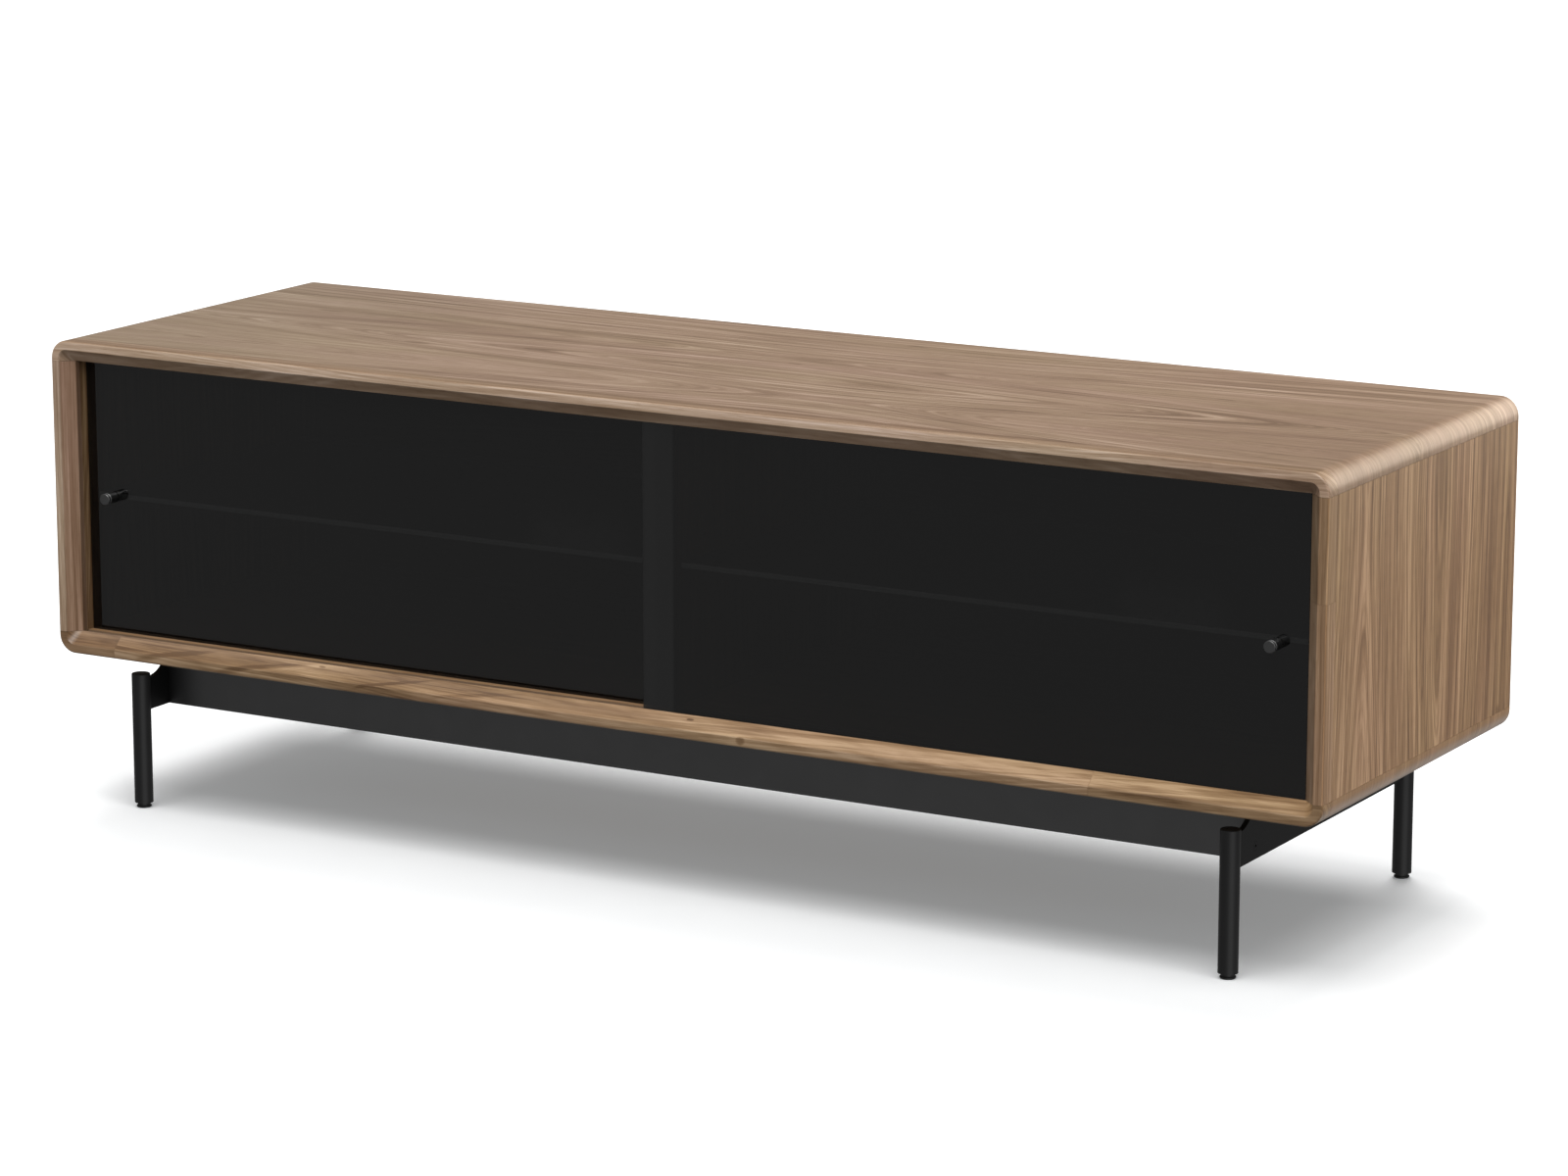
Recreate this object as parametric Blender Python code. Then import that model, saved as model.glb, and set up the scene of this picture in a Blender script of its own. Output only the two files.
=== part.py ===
"""Media cabinet: a walnut case on a black steel base, with two bypass sliding glass doors.

Metres, +Z up, -Y is the front. The origin is on the floor, under the middle of the case.

The case is two full-width panels with rounded ends, with the side panels standing between them. A
bevelled solid wood edge runs round the front opening. Right behind its bevel lie the two grooves that
the doors slide in: the right door runs in the front one and the left door in the rear one. The base
is four round legs welded to two side plates, with a folded channel bolted between them at the front
and at the rear.
"""

import math

import bmesh
import bpy
from mathutils import Vector

# ---------------------------------------------------------------- driving sizes

FIT_GAP = 0.0003  # between touching pieces

# Case
CASE_WIDTH = 1.630
CASE_DEPTH = 0.505
CASE_HEIGHT = 0.374
CASE_BOTTOM = 0.178  # underside of the case above the floor
PANEL = 0.025
CORNER_RADIUS = 0.0215  # rounded ends of the top and bottom panels
CORNER_STEPS = 10
DIVIDER = 0.025
DIVIDER_CLEARANCE = 0.0015  # behind the glass of the rear door

# Solid wood edge round the front opening
EDGE_DEPTH = 0.022
EDGE_BAND = 0.0105  # flat front face, outside the bevel
BEVEL_DEPTH = 0.0145  # how far back the bevel runs to the opening
ROUNDOVER = 0.0025
ROUNDOVER_STEPS = 4

# Back panels in their rebate
BACK_THICKNESS = 0.006
REBATE_WIDTH = 0.010
REBATE_DEPTH = 0.009
BACK_CLEARANCE = 0.001  # round each back panel
CABLE_SLOT_WIDTH = 0.140
CABLE_SLOT_HEIGHT = 0.060
CABLE_SLOT_DROP = 0.052  # middle of a slot below the ceiling of the bay
CABLE_SLOT_STEPS = 10

# Sliding doors
GLASS = 0.006
GLASS_CLEARANCE = 0.0004  # to each side of the glass in its channel
GLASS_ARRIS = 0.0006
CHANNEL_WALL = 0.0006
GROOVE_LAND = 0.0002  # wood between the bevel and the front groove
GROOVE_PITCH = 0.0165
GROOVE_END = 0.0005  # wood left at each end of a groove
UPPER_GROOVE_DEPTH = 0.014
LOWER_GROOVE_DEPTH = 0.008
GLASS_BITE = 0.008  # how far the glass stands in the upper groove
DOOR_OVERLAP = 0.030
DOOR_END_GAP = 0.001
GLIDE_LENGTH = 0.040
GLIDE_HEIGHT = 0.0022
GLIDE_INSET = 0.080  # middle of a glide from the end of its door
GLIDE_LEAD = 0.0015  # lead-in at each end of a glide

# Knob and what holds it to the glass
KNOB_RADIUS = 0.0065
KNOB_LENGTH = 0.019
KNOB_CAP = 0.0030  # length of the cap in front of the groove
KNOB_GROOVE_WIDTH = 0.0012
KNOB_GROOVE_DEPTH = 0.0010
KNOB_CHAMFER = 0.0004
KNOB_INSET = 0.037  # from the side of the opening
KNOB_BORE_DEPTH = 0.0110
KNOB_SCREW_RADIUS = 0.0020
KNOB_SCREW_REACH = 0.0085  # thread length inside the knob
KNOB_SCREW_HEAD_RADIUS = 0.0045
KNOB_SCREW_HEAD_HEIGHT = 0.0025
KNOB_SCREW_HEAD_ROUND = 0.0010
KNOB_WASHER_RADIUS = 0.0055
KNOB_WASHER_THICKNESS = 0.0010
KNOB_HOLE_CLEARANCE = 0.0010  # round the screw in the glass

# Glass shelves and their pins
SHELF_GLASS = 0.006
SHELF_DEPTH = 0.410
SHELF_SETBACK = 0.0115  # behind the glass of the rear door
SHELF_TOP = 0.162  # above the floor of the bay
SHELF_END_GAP = 0.0020
PIN_RADIUS = 0.0025
PIN_HOLE_DEPTH = 0.0085
PIN_COLLAR_RADIUS = 0.0050
PIN_COLLAR = 0.0012
PIN_PEG_RADIUS = 0.0035
PIN_PEG_LENGTH = 0.0080
PIN_INSET = 0.055  # from the front and rear edges of the shelf
PIN_HOLE_PITCH = 0.032
PIN_HOLE_ROWS = 3  # shelf heights to choose from

# Legs and levelling feet
LEG_RADIUS = 0.011
LEG_WALL = 0.002
LEG_CAP = 0.004  # thickness of the closed top
LEG_TOP_ROUND = 0.0010
LEG_TOP_GAP = 0.016  # under the case
LEG_BOTTOM = 0.006
LEG_INSET = 0.109  # leg axis from the end of the case
FRONT_LEG_SETBACK = 0.0125  # leg axis behind the front of the case
REAR_LEG_SETBACK = 0.0365
PLUG_LENGTH = 0.020
FOOT_RADIUS = 0.0088
FOOT_BASE = 0.0028
FOOT_NECK_RADIUS = 0.00725
FOOT_STUD_RADIUS = 0.0040
FOOT_STUD_LENGTH = 0.030  # above the neck
FOOT_ROUND = 0.0008

# Side plates and beams
PLATE_THICKNESS = 0.006
PLATE_HEIGHT = 0.062
LUG_DROP = 0.0225  # top of the plate at the leg, below the case
NOTCH_RADIUS = 0.038
NOTCH_REACH = 0.053  # far end of the notch from the leg axis
NOTCH_STEPS = 12
BEAM_INSET = 0.050  # outer face of the beam from the leg axis
BEAM_SHEET = 0.003
BEAM_DEPTH = 0.030
BOLT_RADIUS = 0.0025
BOLT_HEAD_RADIUS = 0.0050
BOLT_LENGTH = 0.0120
BOLT_SETBACK = 0.0074  # behind the outer face of the beam
BOLT_RISE = 0.0145  # above the lower edge of the plate
BOLT_SOCKET_RADIUS = 0.0017
BOLT_SOCKET_DEPTH = 0.0018

# Facets round the turned pieces
LEG_FACETS = 40
FOOT_FACETS = 32
KNOB_FACETS = 32
SMALL_FACETS = 16

# ---------------------------------------------------------------- derived places

FRONT = -CASE_DEPTH / 2
REAR = CASE_DEPTH / 2
SIDE = CASE_WIDTH / 2
CASE_TOP = CASE_BOTTOM + CASE_HEIGHT
BAY_SIDE = SIDE - PANEL
BAY_FLOOR = CASE_BOTTOM + PANEL
BAY_CEILING = CASE_TOP - PANEL
BAY_MIDDLE = (BAY_FLOOR + BAY_CEILING) / 2

EDGE_BACK = FRONT + EDGE_DEPTH
BACK_FACE = REAR - REBATE_DEPTH  # front face of the back panels, but for the gap

CHANNEL_HALF = GLASS / 2 + GLASS_CLEARANCE + CHANNEL_WALL
GROOVE_HALF = CHANNEL_HALF + FIT_GAP
FRONT_GROOVE = FRONT + BEVEL_DEPTH + GROOVE_LAND + GROOVE_HALF
REAR_GROOVE = FRONT_GROOVE + GROOVE_PITCH
REAR_GLASS_BACK = REAR_GROOVE + GLASS / 2
GROOVE_REACH = BAY_SIDE - GROOVE_END
DIVIDER_FRONT = REAR_GLASS_BACK + DIVIDER_CLEARANCE

CHANNEL_FLOOR = BAY_FLOOR - LOWER_GROOVE_DEPTH + FIT_GAP + CHANNEL_WALL
GLASS_BOTTOM = CHANNEL_FLOOR + FIT_GAP + GLIDE_HEIGHT + FIT_GAP
GLASS_TOP = BAY_CEILING + GLASS_BITE
KNOB_X = BAY_SIDE - KNOB_INSET

SHELF_UPPER_FACE = BAY_FLOOR + SHELF_TOP
SHELF_FRONT = REAR_GLASS_BACK + SHELF_SETBACK
PIN_Z = SHELF_UPPER_FACE - SHELF_GLASS - FIT_GAP - PIN_PEG_RADIUS
PIN_ROWS_Y = (SHELF_FRONT + PIN_INSET, SHELF_FRONT + SHELF_DEPTH - PIN_INSET)

LEG_X = SIDE - LEG_INSET
FRONT_LEG_Y = FRONT + FRONT_LEG_SETBACK
REAR_LEG_Y = REAR - REAR_LEG_SETBACK
LEG_TOP = CASE_BOTTOM - LEG_TOP_GAP
PLATE_TOP = CASE_BOTTOM - FIT_GAP
PLATE_BOTTOM = CASE_BOTTOM - PLATE_HEIGHT
FRONT_BEAM_Y = FRONT_LEG_Y + BEAM_INSET
REAR_BEAM_Y = REAR_LEG_Y - BEAM_INSET
BOLT_Z = PLATE_BOTTOM + BOLT_RISE

# Which side of the cabinet each name belongs to
SIDES = (("left", -1), ("right", 1))
ENDS = (("front", -1), ("rear", 1))


# ---------------------------------------------------------------- mesh and object helpers


def clear_scene():
    for obj in list(bpy.data.objects):
        bpy.data.objects.remove(obj)


def make_material(name, color, roughness, metallic=0.0, transmission=0.0):
    mat = bpy.data.materials.new(name)
    mat.use_nodes = True
    shader = mat.node_tree.nodes["Principled BSDF"]
    shader.inputs["Base Color"].default_value = (*color, 1.0)
    shader.inputs["Roughness"].default_value = roughness
    shader.inputs["Metallic"].default_value = metallic
    shader.inputs["Transmission Weight"].default_value = transmission
    mat.diffuse_color = (*color, 1.0)
    return mat


def finish_mesh(bm, name, smooth=False):
    """Turn a bmesh into a mesh with its faces pointing out."""
    bmesh.ops.remove_doubles(bm, verts=bm.verts, dist=1e-6)
    bmesh.ops.recalc_face_normals(bm, faces=bm.faces)
    mesh = bpy.data.meshes.new(name)
    bm.to_mesh(mesh)
    bm.free()
    if smooth:
        mesh.shade_smooth()
        mesh.set_sharp_from_angle(angle=math.radians(35))
    return mesh


def place(name, mesh, mat, location=(0, 0, 0), rotation=(0, 0, 0), parent=None):
    """Link a mesh as a named object."""
    obj = bpy.data.objects.new(name, mesh)
    bpy.context.collection.objects.link(obj)
    obj.location = location
    obj.rotation_euler = rotation
    obj.parent = parent
    if mat is not None and not mesh.materials:
        mesh.materials.append(mat)
    return obj


def box_mesh(name, size):
    """A block centred on its origin."""
    bm = bmesh.new()
    bmesh.ops.create_cube(bm, size=1.0)
    bmesh.ops.scale(bm, vec=size, verts=bm.verts)
    return finish_mesh(bm, name)


def box(name, low, high, mat=None, parent=None):
    """A block between two corners."""
    low, high = Vector(low), Vector(high)
    return place(name, box_mesh(name, high - low), mat, (low + high) / 2, parent=parent)


def prism(name, outline, along, start, end, mat=None, smooth=False):
    """An outline pushed along an axis: its points are (y, z) along X, (x, z) along Y, (x, y) along Z."""
    lift = {
        "X": lambda a, b, s: (s, a, b),
        "Y": lambda a, b, s: (a, s, b),
        "Z": lambda a, b, s: (a, b, s),
    }[along]
    bm = bmesh.new()
    first = [bm.verts.new(lift(a, b, start)) for a, b in outline]
    last = [bm.verts.new(lift(a, b, end)) for a, b in outline]
    bm.faces.new(first)
    bm.faces.new(last)
    for i in range(len(outline)):
        j = (i + 1) % len(outline)
        bm.faces.new((first[i], first[j], last[j], last[i]))
    return place(name, finish_mesh(bm, name, smooth), mat)


def lathe_mesh(name, profile, facets, ring=False):
    """A turned piece about local Z from (radius, height) points; a ring's profile is a closed loop."""
    bm = bmesh.new()
    rings = []
    for radius, height in profile:
        if radius == 0:
            rings.append([bm.verts.new((0, 0, height))] * facets)
            continue
        turns = (2 * math.pi * i / facets for i in range(facets))
        rings.append([bm.verts.new((radius * math.cos(t), radius * math.sin(t), height)) for t in turns])
    pairs = list(zip(rings, rings[1:]))
    if ring:
        pairs.append((rings[-1], rings[0]))
    for lower, upper in pairs:
        for i in range(facets):
            j = (i + 1) % facets
            corners = dict.fromkeys((lower[i], lower[j], upper[j], upper[i]))
            bm.faces.new(tuple(corners))
    return finish_mesh(bm, name, smooth=True)


def arc(center, radius, start, end, steps):
    """Points along an arc, from one angle in degrees to another, both ends kept."""
    turns = (math.radians(start + (end - start) * i / steps) for i in range(steps + 1))
    return [(center[0] + radius * math.cos(t), center[1] + radius * math.sin(t)) for t in turns]


def slot_outline(center, width, height, steps):
    """A slot with round ends."""
    radius = height / 2
    reach = width / 2 - radius
    right = arc((center[0] + reach, center[1]), radius, -90, 90, steps)
    left = arc((center[0] - reach, center[1]), radius, 90, 270, steps)
    return right + left


def carve(obj, *cutters):
    """Cut each cutter out of an object, and discard the cutters."""
    for cutter in cutters:
        cutter.hide_render = True
        cutter.display_type = "WIRE"
        modifier = obj.modifiers.new(cutter.name, "BOOLEAN")
        modifier.object = cutter
        modifier.operation = "DIFFERENCE"
    bpy.context.view_layer.update()
    depsgraph = bpy.context.evaluated_depsgraph_get()
    carved = bpy.data.meshes.new_from_object(obj.evaluated_get(depsgraph))
    obj.modifiers.clear()
    obj.data = carved
    carved.name = obj.name
    for cutter in cutters:
        bpy.data.objects.remove(cutter)


def rod(name, center, radius, length, along, facets=SMALL_FACETS):
    """A plain cylinder centred on a point, for cutting holes."""
    mesh = lathe_mesh(name, [(0, -length / 2), (radius, -length / 2), (radius, length / 2), (0, length / 2)], facets)
    turn = {"X": (0, math.pi / 2, 0), "Y": (math.pi / 2, 0, 0), "Z": (0, 0, 0)}[along]
    return place(name, mesh, None, center, turn)


def move_axis(name):
    """An empty that carries a sliding door; the door slides along its X axis."""
    empty = bpy.data.objects.new(name, None)
    empty.empty_display_size = 0.05
    bpy.context.collection.objects.link(empty)
    return empty


# ---------------------------------------------------------------- case


def groove_cutters(upper):
    """The two door grooves in the top or the bottom of the case."""
    if upper:
        low, high = BAY_CEILING - PANEL, BAY_CEILING + UPPER_GROOVE_DEPTH
    else:
        low, high = BAY_FLOOR - LOWER_GROOVE_DEPTH, BAY_FLOOR + PANEL
    return [
        box("groove", (-GROOVE_REACH, y - GROOVE_HALF, low), (GROOVE_REACH, y + GROOVE_HALF, high))
        for y in (FRONT_GROOVE, REAR_GROOVE)
    ]


def rebate_cutter():
    """The recess that takes the back panels, in all four panels of the case."""
    return box(
        "rebate",
        (-BAY_SIDE - REBATE_WIDTH, BACK_FACE, BAY_FLOOR - REBATE_WIDTH),
        (BAY_SIDE + REBATE_WIDTH, REAR + PANEL, BAY_CEILING + REBATE_WIDTH),
    )


def level_panel(name, upper, mat):
    """Top or bottom panel: full width, its outer long corners rounded."""
    centre_x = SIDE - CORNER_RADIUS
    if upper:
        inner, centre_z, turn = BAY_CEILING, CASE_TOP - CORNER_RADIUS, 90
    else:
        inner, centre_z, turn = BAY_FLOOR, CASE_BOTTOM + CORNER_RADIUS, -90
    right = arc((centre_x, centre_z), CORNER_RADIUS, 0, turn, CORNER_STEPS)
    left = [(-x, z) for x, z in reversed(right)]
    outline = [(SIDE, inner)] + right + left + [(-SIDE, inner)]
    panel = prism(name, outline, "Y", EDGE_BACK + FIT_GAP, REAR, mat, smooth=True)
    carve(panel, *groove_cutters(upper), rebate_cutter())


def pin_hole_cutters(face_x):
    """Holes for the shelf pins in one face of a side panel or the divider, at each shelf height."""
    middle = (PIN_HOLE_ROWS - 1) / 2
    return [
        rod(
            "pin_hole",
            (face_x, y, PIN_Z + (row - middle) * PIN_HOLE_PITCH),
            PIN_RADIUS + FIT_GAP,
            2 * PIN_HOLE_DEPTH,
            "X",
        )
        for y in PIN_ROWS_Y
        for row in range(PIN_HOLE_ROWS)
    ]


def side_panel(name, sign, mat):
    """End of the case, standing between the top and bottom panels."""
    near, far = sorted((sign * BAY_SIDE, sign * SIDE))
    panel = box(
        name,
        (near, EDGE_BACK + FIT_GAP, BAY_FLOOR + FIT_GAP),
        (far, REAR, BAY_CEILING - FIT_GAP),
        mat,
    )
    carve(panel, rebate_cutter(), *pin_hole_cutters(sign * BAY_SIDE))


def center_divider(mat):
    panel = box(
        "center_divider",
        (-DIVIDER / 2, DIVIDER_FRONT, BAY_FLOOR + FIT_GAP),
        (DIVIDER / 2, BACK_FACE, BAY_CEILING - FIT_GAP),
        mat,
    )
    carve(panel, *pin_hole_cutters(-DIVIDER / 2), *pin_hole_cutters(DIVIDER / 2))


def back_panel(name, sign, mat):
    """Thin panel in the rear rebate, with a cable slot."""
    near, far = sorted((sign * BACK_CLEARANCE / 2, sign * (BAY_SIDE + REBATE_WIDTH - BACK_CLEARANCE)))
    front = BACK_FACE + FIT_GAP
    panel = box(
        name,
        (near, front, BAY_FLOOR - REBATE_WIDTH + BACK_CLEARANCE),
        (far, front + BACK_THICKNESS, BAY_CEILING + REBATE_WIDTH - BACK_CLEARANCE),
        mat,
    )
    centre = (sign * (BAY_SIDE + DIVIDER / 2) / 2, BAY_CEILING - CABLE_SLOT_DROP)
    outline = slot_outline(centre, CABLE_SLOT_WIDTH, CABLE_SLOT_HEIGHT, CABLE_SLOT_STEPS)
    carve(panel, prism("slot", outline, "Y", BACK_FACE - PANEL, REAR + PANEL))


# ---------------------------------------------------------------- solid wood edge


def edge_section():
    """The front of the edge as (inset from the outline, y) points, from its outer rear to the bevel."""
    turned = arc((ROUNDOVER, FRONT + ROUNDOVER), ROUNDOVER, 180, 270, ROUNDOVER_STEPS)
    return [(0.0, EDGE_BACK)] + turned + [(EDGE_BAND, FRONT)]


def level_edge(name, upper, mat):
    """Top or bottom edge: it turns both corners, where its bevel fans in to the sharp inner corner."""
    flip = 1 if upper else -1
    outer = CASE_TOP if upper else CASE_BOTTOM
    inner = BAY_CEILING if upper else BAY_FLOOR
    centre_x = SIDE - CORNER_RADIUS
    centre_z = outer - flip * CORNER_RADIUS

    def station(sign, turn):
        """Cross-section of the edge; turn is None at the seam with the upright edge."""
        ring = []
        for inset, y in edge_section():
            if turn is None:
                ring.append((sign * (SIDE - inset), y, inner))
            else:
                reach = CORNER_RADIUS - inset
                x = centre_x + reach * math.cos(turn)
                ring.append((sign * x, y, centre_z + flip * reach * math.sin(turn)))
        for y in (FRONT + BEVEL_DEPTH, EDGE_BACK):
            ring.append((sign * BAY_SIDE, y, inner))
        return ring

    turns = [None] + [math.pi / 2 * i / CORNER_STEPS for i in range(CORNER_STEPS + 1)]
    stations = [station(1, turn) for turn in turns] + [station(-1, turn) for turn in reversed(turns)]
    bm = bmesh.new()
    rings = [[bm.verts.new(point) for point in ring] for ring in stations]
    count = len(rings[0])
    for here, there in zip(rings, rings[1:]):
        for i in range(count):
            j = (i + 1) % count
            bm.faces.new((here[i], here[j], there[j], there[i]))
    bm.faces.new(rings[0])
    bm.faces.new(rings[-1])
    edge = place(name, finish_mesh(bm, name, smooth=True), mat)
    carve(edge, *groove_cutters(upper))


def upright_edge(name, sign, mat):
    """Side edge between the top and bottom edges, with the same section."""
    outline = [(sign * (SIDE - inset), y) for inset, y in edge_section()]
    outline += [(sign * BAY_SIDE, FRONT + BEVEL_DEPTH), (sign * BAY_SIDE, EDGE_BACK)]
    prism(name, outline, "Z", BAY_FLOOR + FIT_GAP, BAY_CEILING - FIT_GAP, mat, smooth=True)


# ---------------------------------------------------------------- door channels and doors


def door_channel(name, y, upper, mat):
    """U-shaped liner of one groove, open towards the door."""
    if upper:
        back = BAY_CEILING + UPPER_GROOVE_DEPTH - FIT_GAP
        web, mouth = back - CHANNEL_WALL, BAY_CEILING
    else:
        back = BAY_FLOOR - LOWER_GROOVE_DEPTH + FIT_GAP
        web, mouth = back + CHANNEL_WALL, BAY_FLOOR
    inside = CHANNEL_HALF - CHANNEL_WALL
    outline = [
        (y - CHANNEL_HALF, mouth),
        (y - CHANNEL_HALF, back),
        (y + CHANNEL_HALF, back),
        (y + CHANNEL_HALF, mouth),
        (y + inside, mouth),
        (y + inside, web),
        (y - inside, web),
        (y - inside, mouth),
    ]
    reach = GROOVE_REACH - FIT_GAP
    prism(name, outline, "X", -reach, reach, mat)


def knob_mesh():
    """Turned knob, its axis along local Z, its cap up and its foot at the origin."""
    cap_back = KNOB_LENGTH - KNOB_CAP
    groove_back = cap_back - KNOB_GROOVE_WIDTH
    waist = KNOB_RADIUS - KNOB_GROOVE_DEPTH
    bore = KNOB_SCREW_RADIUS + FIT_GAP
    profile = [
        (0, KNOB_BORE_DEPTH),
        (bore, KNOB_BORE_DEPTH),
        (bore, 0),
        (KNOB_RADIUS - KNOB_CHAMFER, 0),
        (KNOB_RADIUS, KNOB_CHAMFER),
        (KNOB_RADIUS, groove_back - KNOB_CHAMFER),
        (KNOB_RADIUS - KNOB_CHAMFER, groove_back),
        (waist, groove_back),
        (waist, cap_back),
        (KNOB_RADIUS - KNOB_CHAMFER, cap_back),
        (KNOB_RADIUS, cap_back + KNOB_CHAMFER),
        (KNOB_RADIUS, KNOB_LENGTH - KNOB_CHAMFER),
        (KNOB_RADIUS - KNOB_CHAMFER, KNOB_LENGTH),
        (0, KNOB_LENGTH),
    ]
    return lathe_mesh("knob", profile, KNOB_FACETS)


def knob_screw_mesh():
    """Pan-head screw, its axis along local Z, the underside of its head at the origin."""
    reach = FIT_GAP + KNOB_WASHER_THICKNESS + FIT_GAP + GLASS + FIT_GAP + KNOB_SCREW_REACH
    profile = [
        (0, -KNOB_SCREW_HEAD_HEIGHT),
        (KNOB_SCREW_HEAD_RADIUS - KNOB_SCREW_HEAD_ROUND, -KNOB_SCREW_HEAD_HEIGHT),
        (KNOB_SCREW_HEAD_RADIUS, -KNOB_SCREW_HEAD_HEIGHT + KNOB_SCREW_HEAD_ROUND),
        (KNOB_SCREW_HEAD_RADIUS, 0),
        (KNOB_SCREW_RADIUS, 0),
        (KNOB_SCREW_RADIUS, reach),
        (0, reach),
    ]
    return lathe_mesh("knob_screw", profile, SMALL_FACETS)


def knob_washer_mesh():
    hole = KNOB_SCREW_RADIUS + FIT_GAP
    profile = [
        (hole, 0),
        (KNOB_WASHER_RADIUS, 0),
        (KNOB_WASHER_RADIUS, KNOB_WASHER_THICKNESS),
        (hole, KNOB_WASHER_THICKNESS),
    ]
    return lathe_mesh("knob_washer", profile, SMALL_FACETS, ring=True)


def glide(name, x, y, mat, parent):
    """Nylon sled between the lower edge of the glass and the floor of its channel."""
    low = CHANNEL_FLOOR + FIT_GAP
    high = low + GLIDE_HEIGHT
    half = GLIDE_LENGTH / 2
    outline = [
        (x - half, high),
        (x - half, low + GLIDE_LEAD),
        (x - half + GLIDE_LEAD, low),
        (x + half - GLIDE_LEAD, low),
        (x + half, low + GLIDE_LEAD),
        (x + half, high),
    ]
    sled = prism(name, outline, "Y", y - GLASS / 2, y + GLASS / 2, mat)
    sled.parent = parent


def sliding_door(side, sign, y, mats):
    """One glass door with its knob and glides, all carried by the empty of its slide."""
    slide = move_axis(f"{side}_door_slide")
    near, far = sorted((-sign * DOOR_OVERLAP / 2, sign * (BAY_SIDE - DOOR_END_GAP)))
    glass = box(
        f"{side}_door_glass",
        (near, y - GLASS / 2, GLASS_BOTTOM),
        (far, y + GLASS / 2, GLASS_TOP),
        mats["door_glass"],
        slide,
    )
    knob_x = sign * KNOB_X
    hole = rod("hole", (knob_x, y, BAY_MIDDLE), KNOB_SCREW_RADIUS + KNOB_HOLE_CLEARANCE, 3 * GLASS, "Y")
    carve(glass, hole)
    arris = glass.modifiers.new("arris", "BEVEL")
    arris.width = GLASS_ARRIS
    arris.segments = 1
    arris.limit_method = "ANGLE"

    forward = (math.pi / 2, 0, 0)  # local Z turned to face the front
    knob_at = (knob_x, y - GLASS / 2 - FIT_GAP, BAY_MIDDLE)
    washer_back = y + GLASS / 2 + FIT_GAP + KNOB_WASHER_THICKNESS
    place(f"{side}_door_knob", knob_mesh(), mats["knob"], knob_at, forward, slide)
    washer_at = (knob_x, washer_back, BAY_MIDDLE)
    place(f"{side}_door_knob_washer", knob_washer_mesh(), mats["nylon"], washer_at, forward, slide)
    screw_at = (knob_x, washer_back + FIT_GAP, BAY_MIDDLE)
    place(f"{side}_door_knob_screw", knob_screw_mesh(), mats["zinc"], screw_at, forward, slide)

    glide(f"{side}_door_glide_left", near + GLIDE_INSET, y, mats["nylon"], slide)
    glide(f"{side}_door_glide_right", far - GLIDE_INSET, y, mats["nylon"], slide)


# ---------------------------------------------------------------- shelves


def shelf_pin_mesh():
    """Pin along local Z: shank in the panel below the origin, collar and peg above it."""
    collar_top = FIT_GAP + PIN_COLLAR
    profile = [
        (0, -PIN_HOLE_DEPTH + FIT_GAP),
        (PIN_RADIUS, -PIN_HOLE_DEPTH + FIT_GAP),
        (PIN_RADIUS, FIT_GAP),
        (PIN_COLLAR_RADIUS, FIT_GAP),
        (PIN_COLLAR_RADIUS, collar_top),
        (PIN_PEG_RADIUS, collar_top),
        (PIN_PEG_RADIUS, collar_top + PIN_PEG_LENGTH),
        (0, collar_top + PIN_PEG_LENGTH),
    ]
    return lathe_mesh("shelf_pin", profile, SMALL_FACETS)


def shelf(side, sign, mats):
    """Glass shelf of one bay on its four pins."""
    near, far = sorted((sign * (DIVIDER / 2 + SHELF_END_GAP), sign * (BAY_SIDE - SHELF_END_GAP)))
    plate = box(
        f"shelf_{side}",
        (near, SHELF_FRONT, SHELF_UPPER_FACE - SHELF_GLASS),
        (far, SHELF_FRONT + SHELF_DEPTH, SHELF_UPPER_FACE),
        mats["shelf_glass"],
    )
    arris = plate.modifiers.new("arris", "BEVEL")
    arris.width = GLASS_ARRIS
    arris.segments = 1

    mesh = shelf_pin_mesh()
    for where, wall_x, facing in (("outer", sign * BAY_SIDE, -sign), ("inner", sign * DIVIDER / 2, sign)):
        for (end, _), y in zip(ENDS, PIN_ROWS_Y):
            place(
                f"shelf_pin_{side}_{where}_{end}",
                mesh,
                mats["zinc"],
                (wall_x, y, PIN_Z),
                (0, facing * math.pi / 2, 0),
            )


# ---------------------------------------------------------------- base


def leg_mesh():
    """Tube with a closed, slightly rounded top; its axis is local Z, from the floor."""
    bore = LEG_RADIUS - LEG_WALL
    ceiling = LEG_TOP - LEG_CAP
    shoulder = arc((LEG_RADIUS - LEG_TOP_ROUND, LEG_TOP - LEG_TOP_ROUND), LEG_TOP_ROUND, 0, 90, 3)
    profile = [(0, ceiling), (bore, ceiling), (bore, LEG_BOTTOM), (LEG_RADIUS, LEG_BOTTOM)]
    profile += shoulder + [(0, LEG_TOP)]
    return lathe_mesh("leg", profile, LEG_FACETS)


def plug_mesh():
    """Threaded plug pressed into the lower end of a leg."""
    outer = LEG_RADIUS - LEG_WALL - FIT_GAP
    bore = FOOT_STUD_RADIUS + FIT_GAP
    top = LEG_BOTTOM + PLUG_LENGTH
    profile = [(bore, LEG_BOTTOM), (outer, LEG_BOTTOM), (outer, top), (bore, top)]
    return lathe_mesh("leg_plug", profile, FOOT_FACETS, ring=True)


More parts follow.
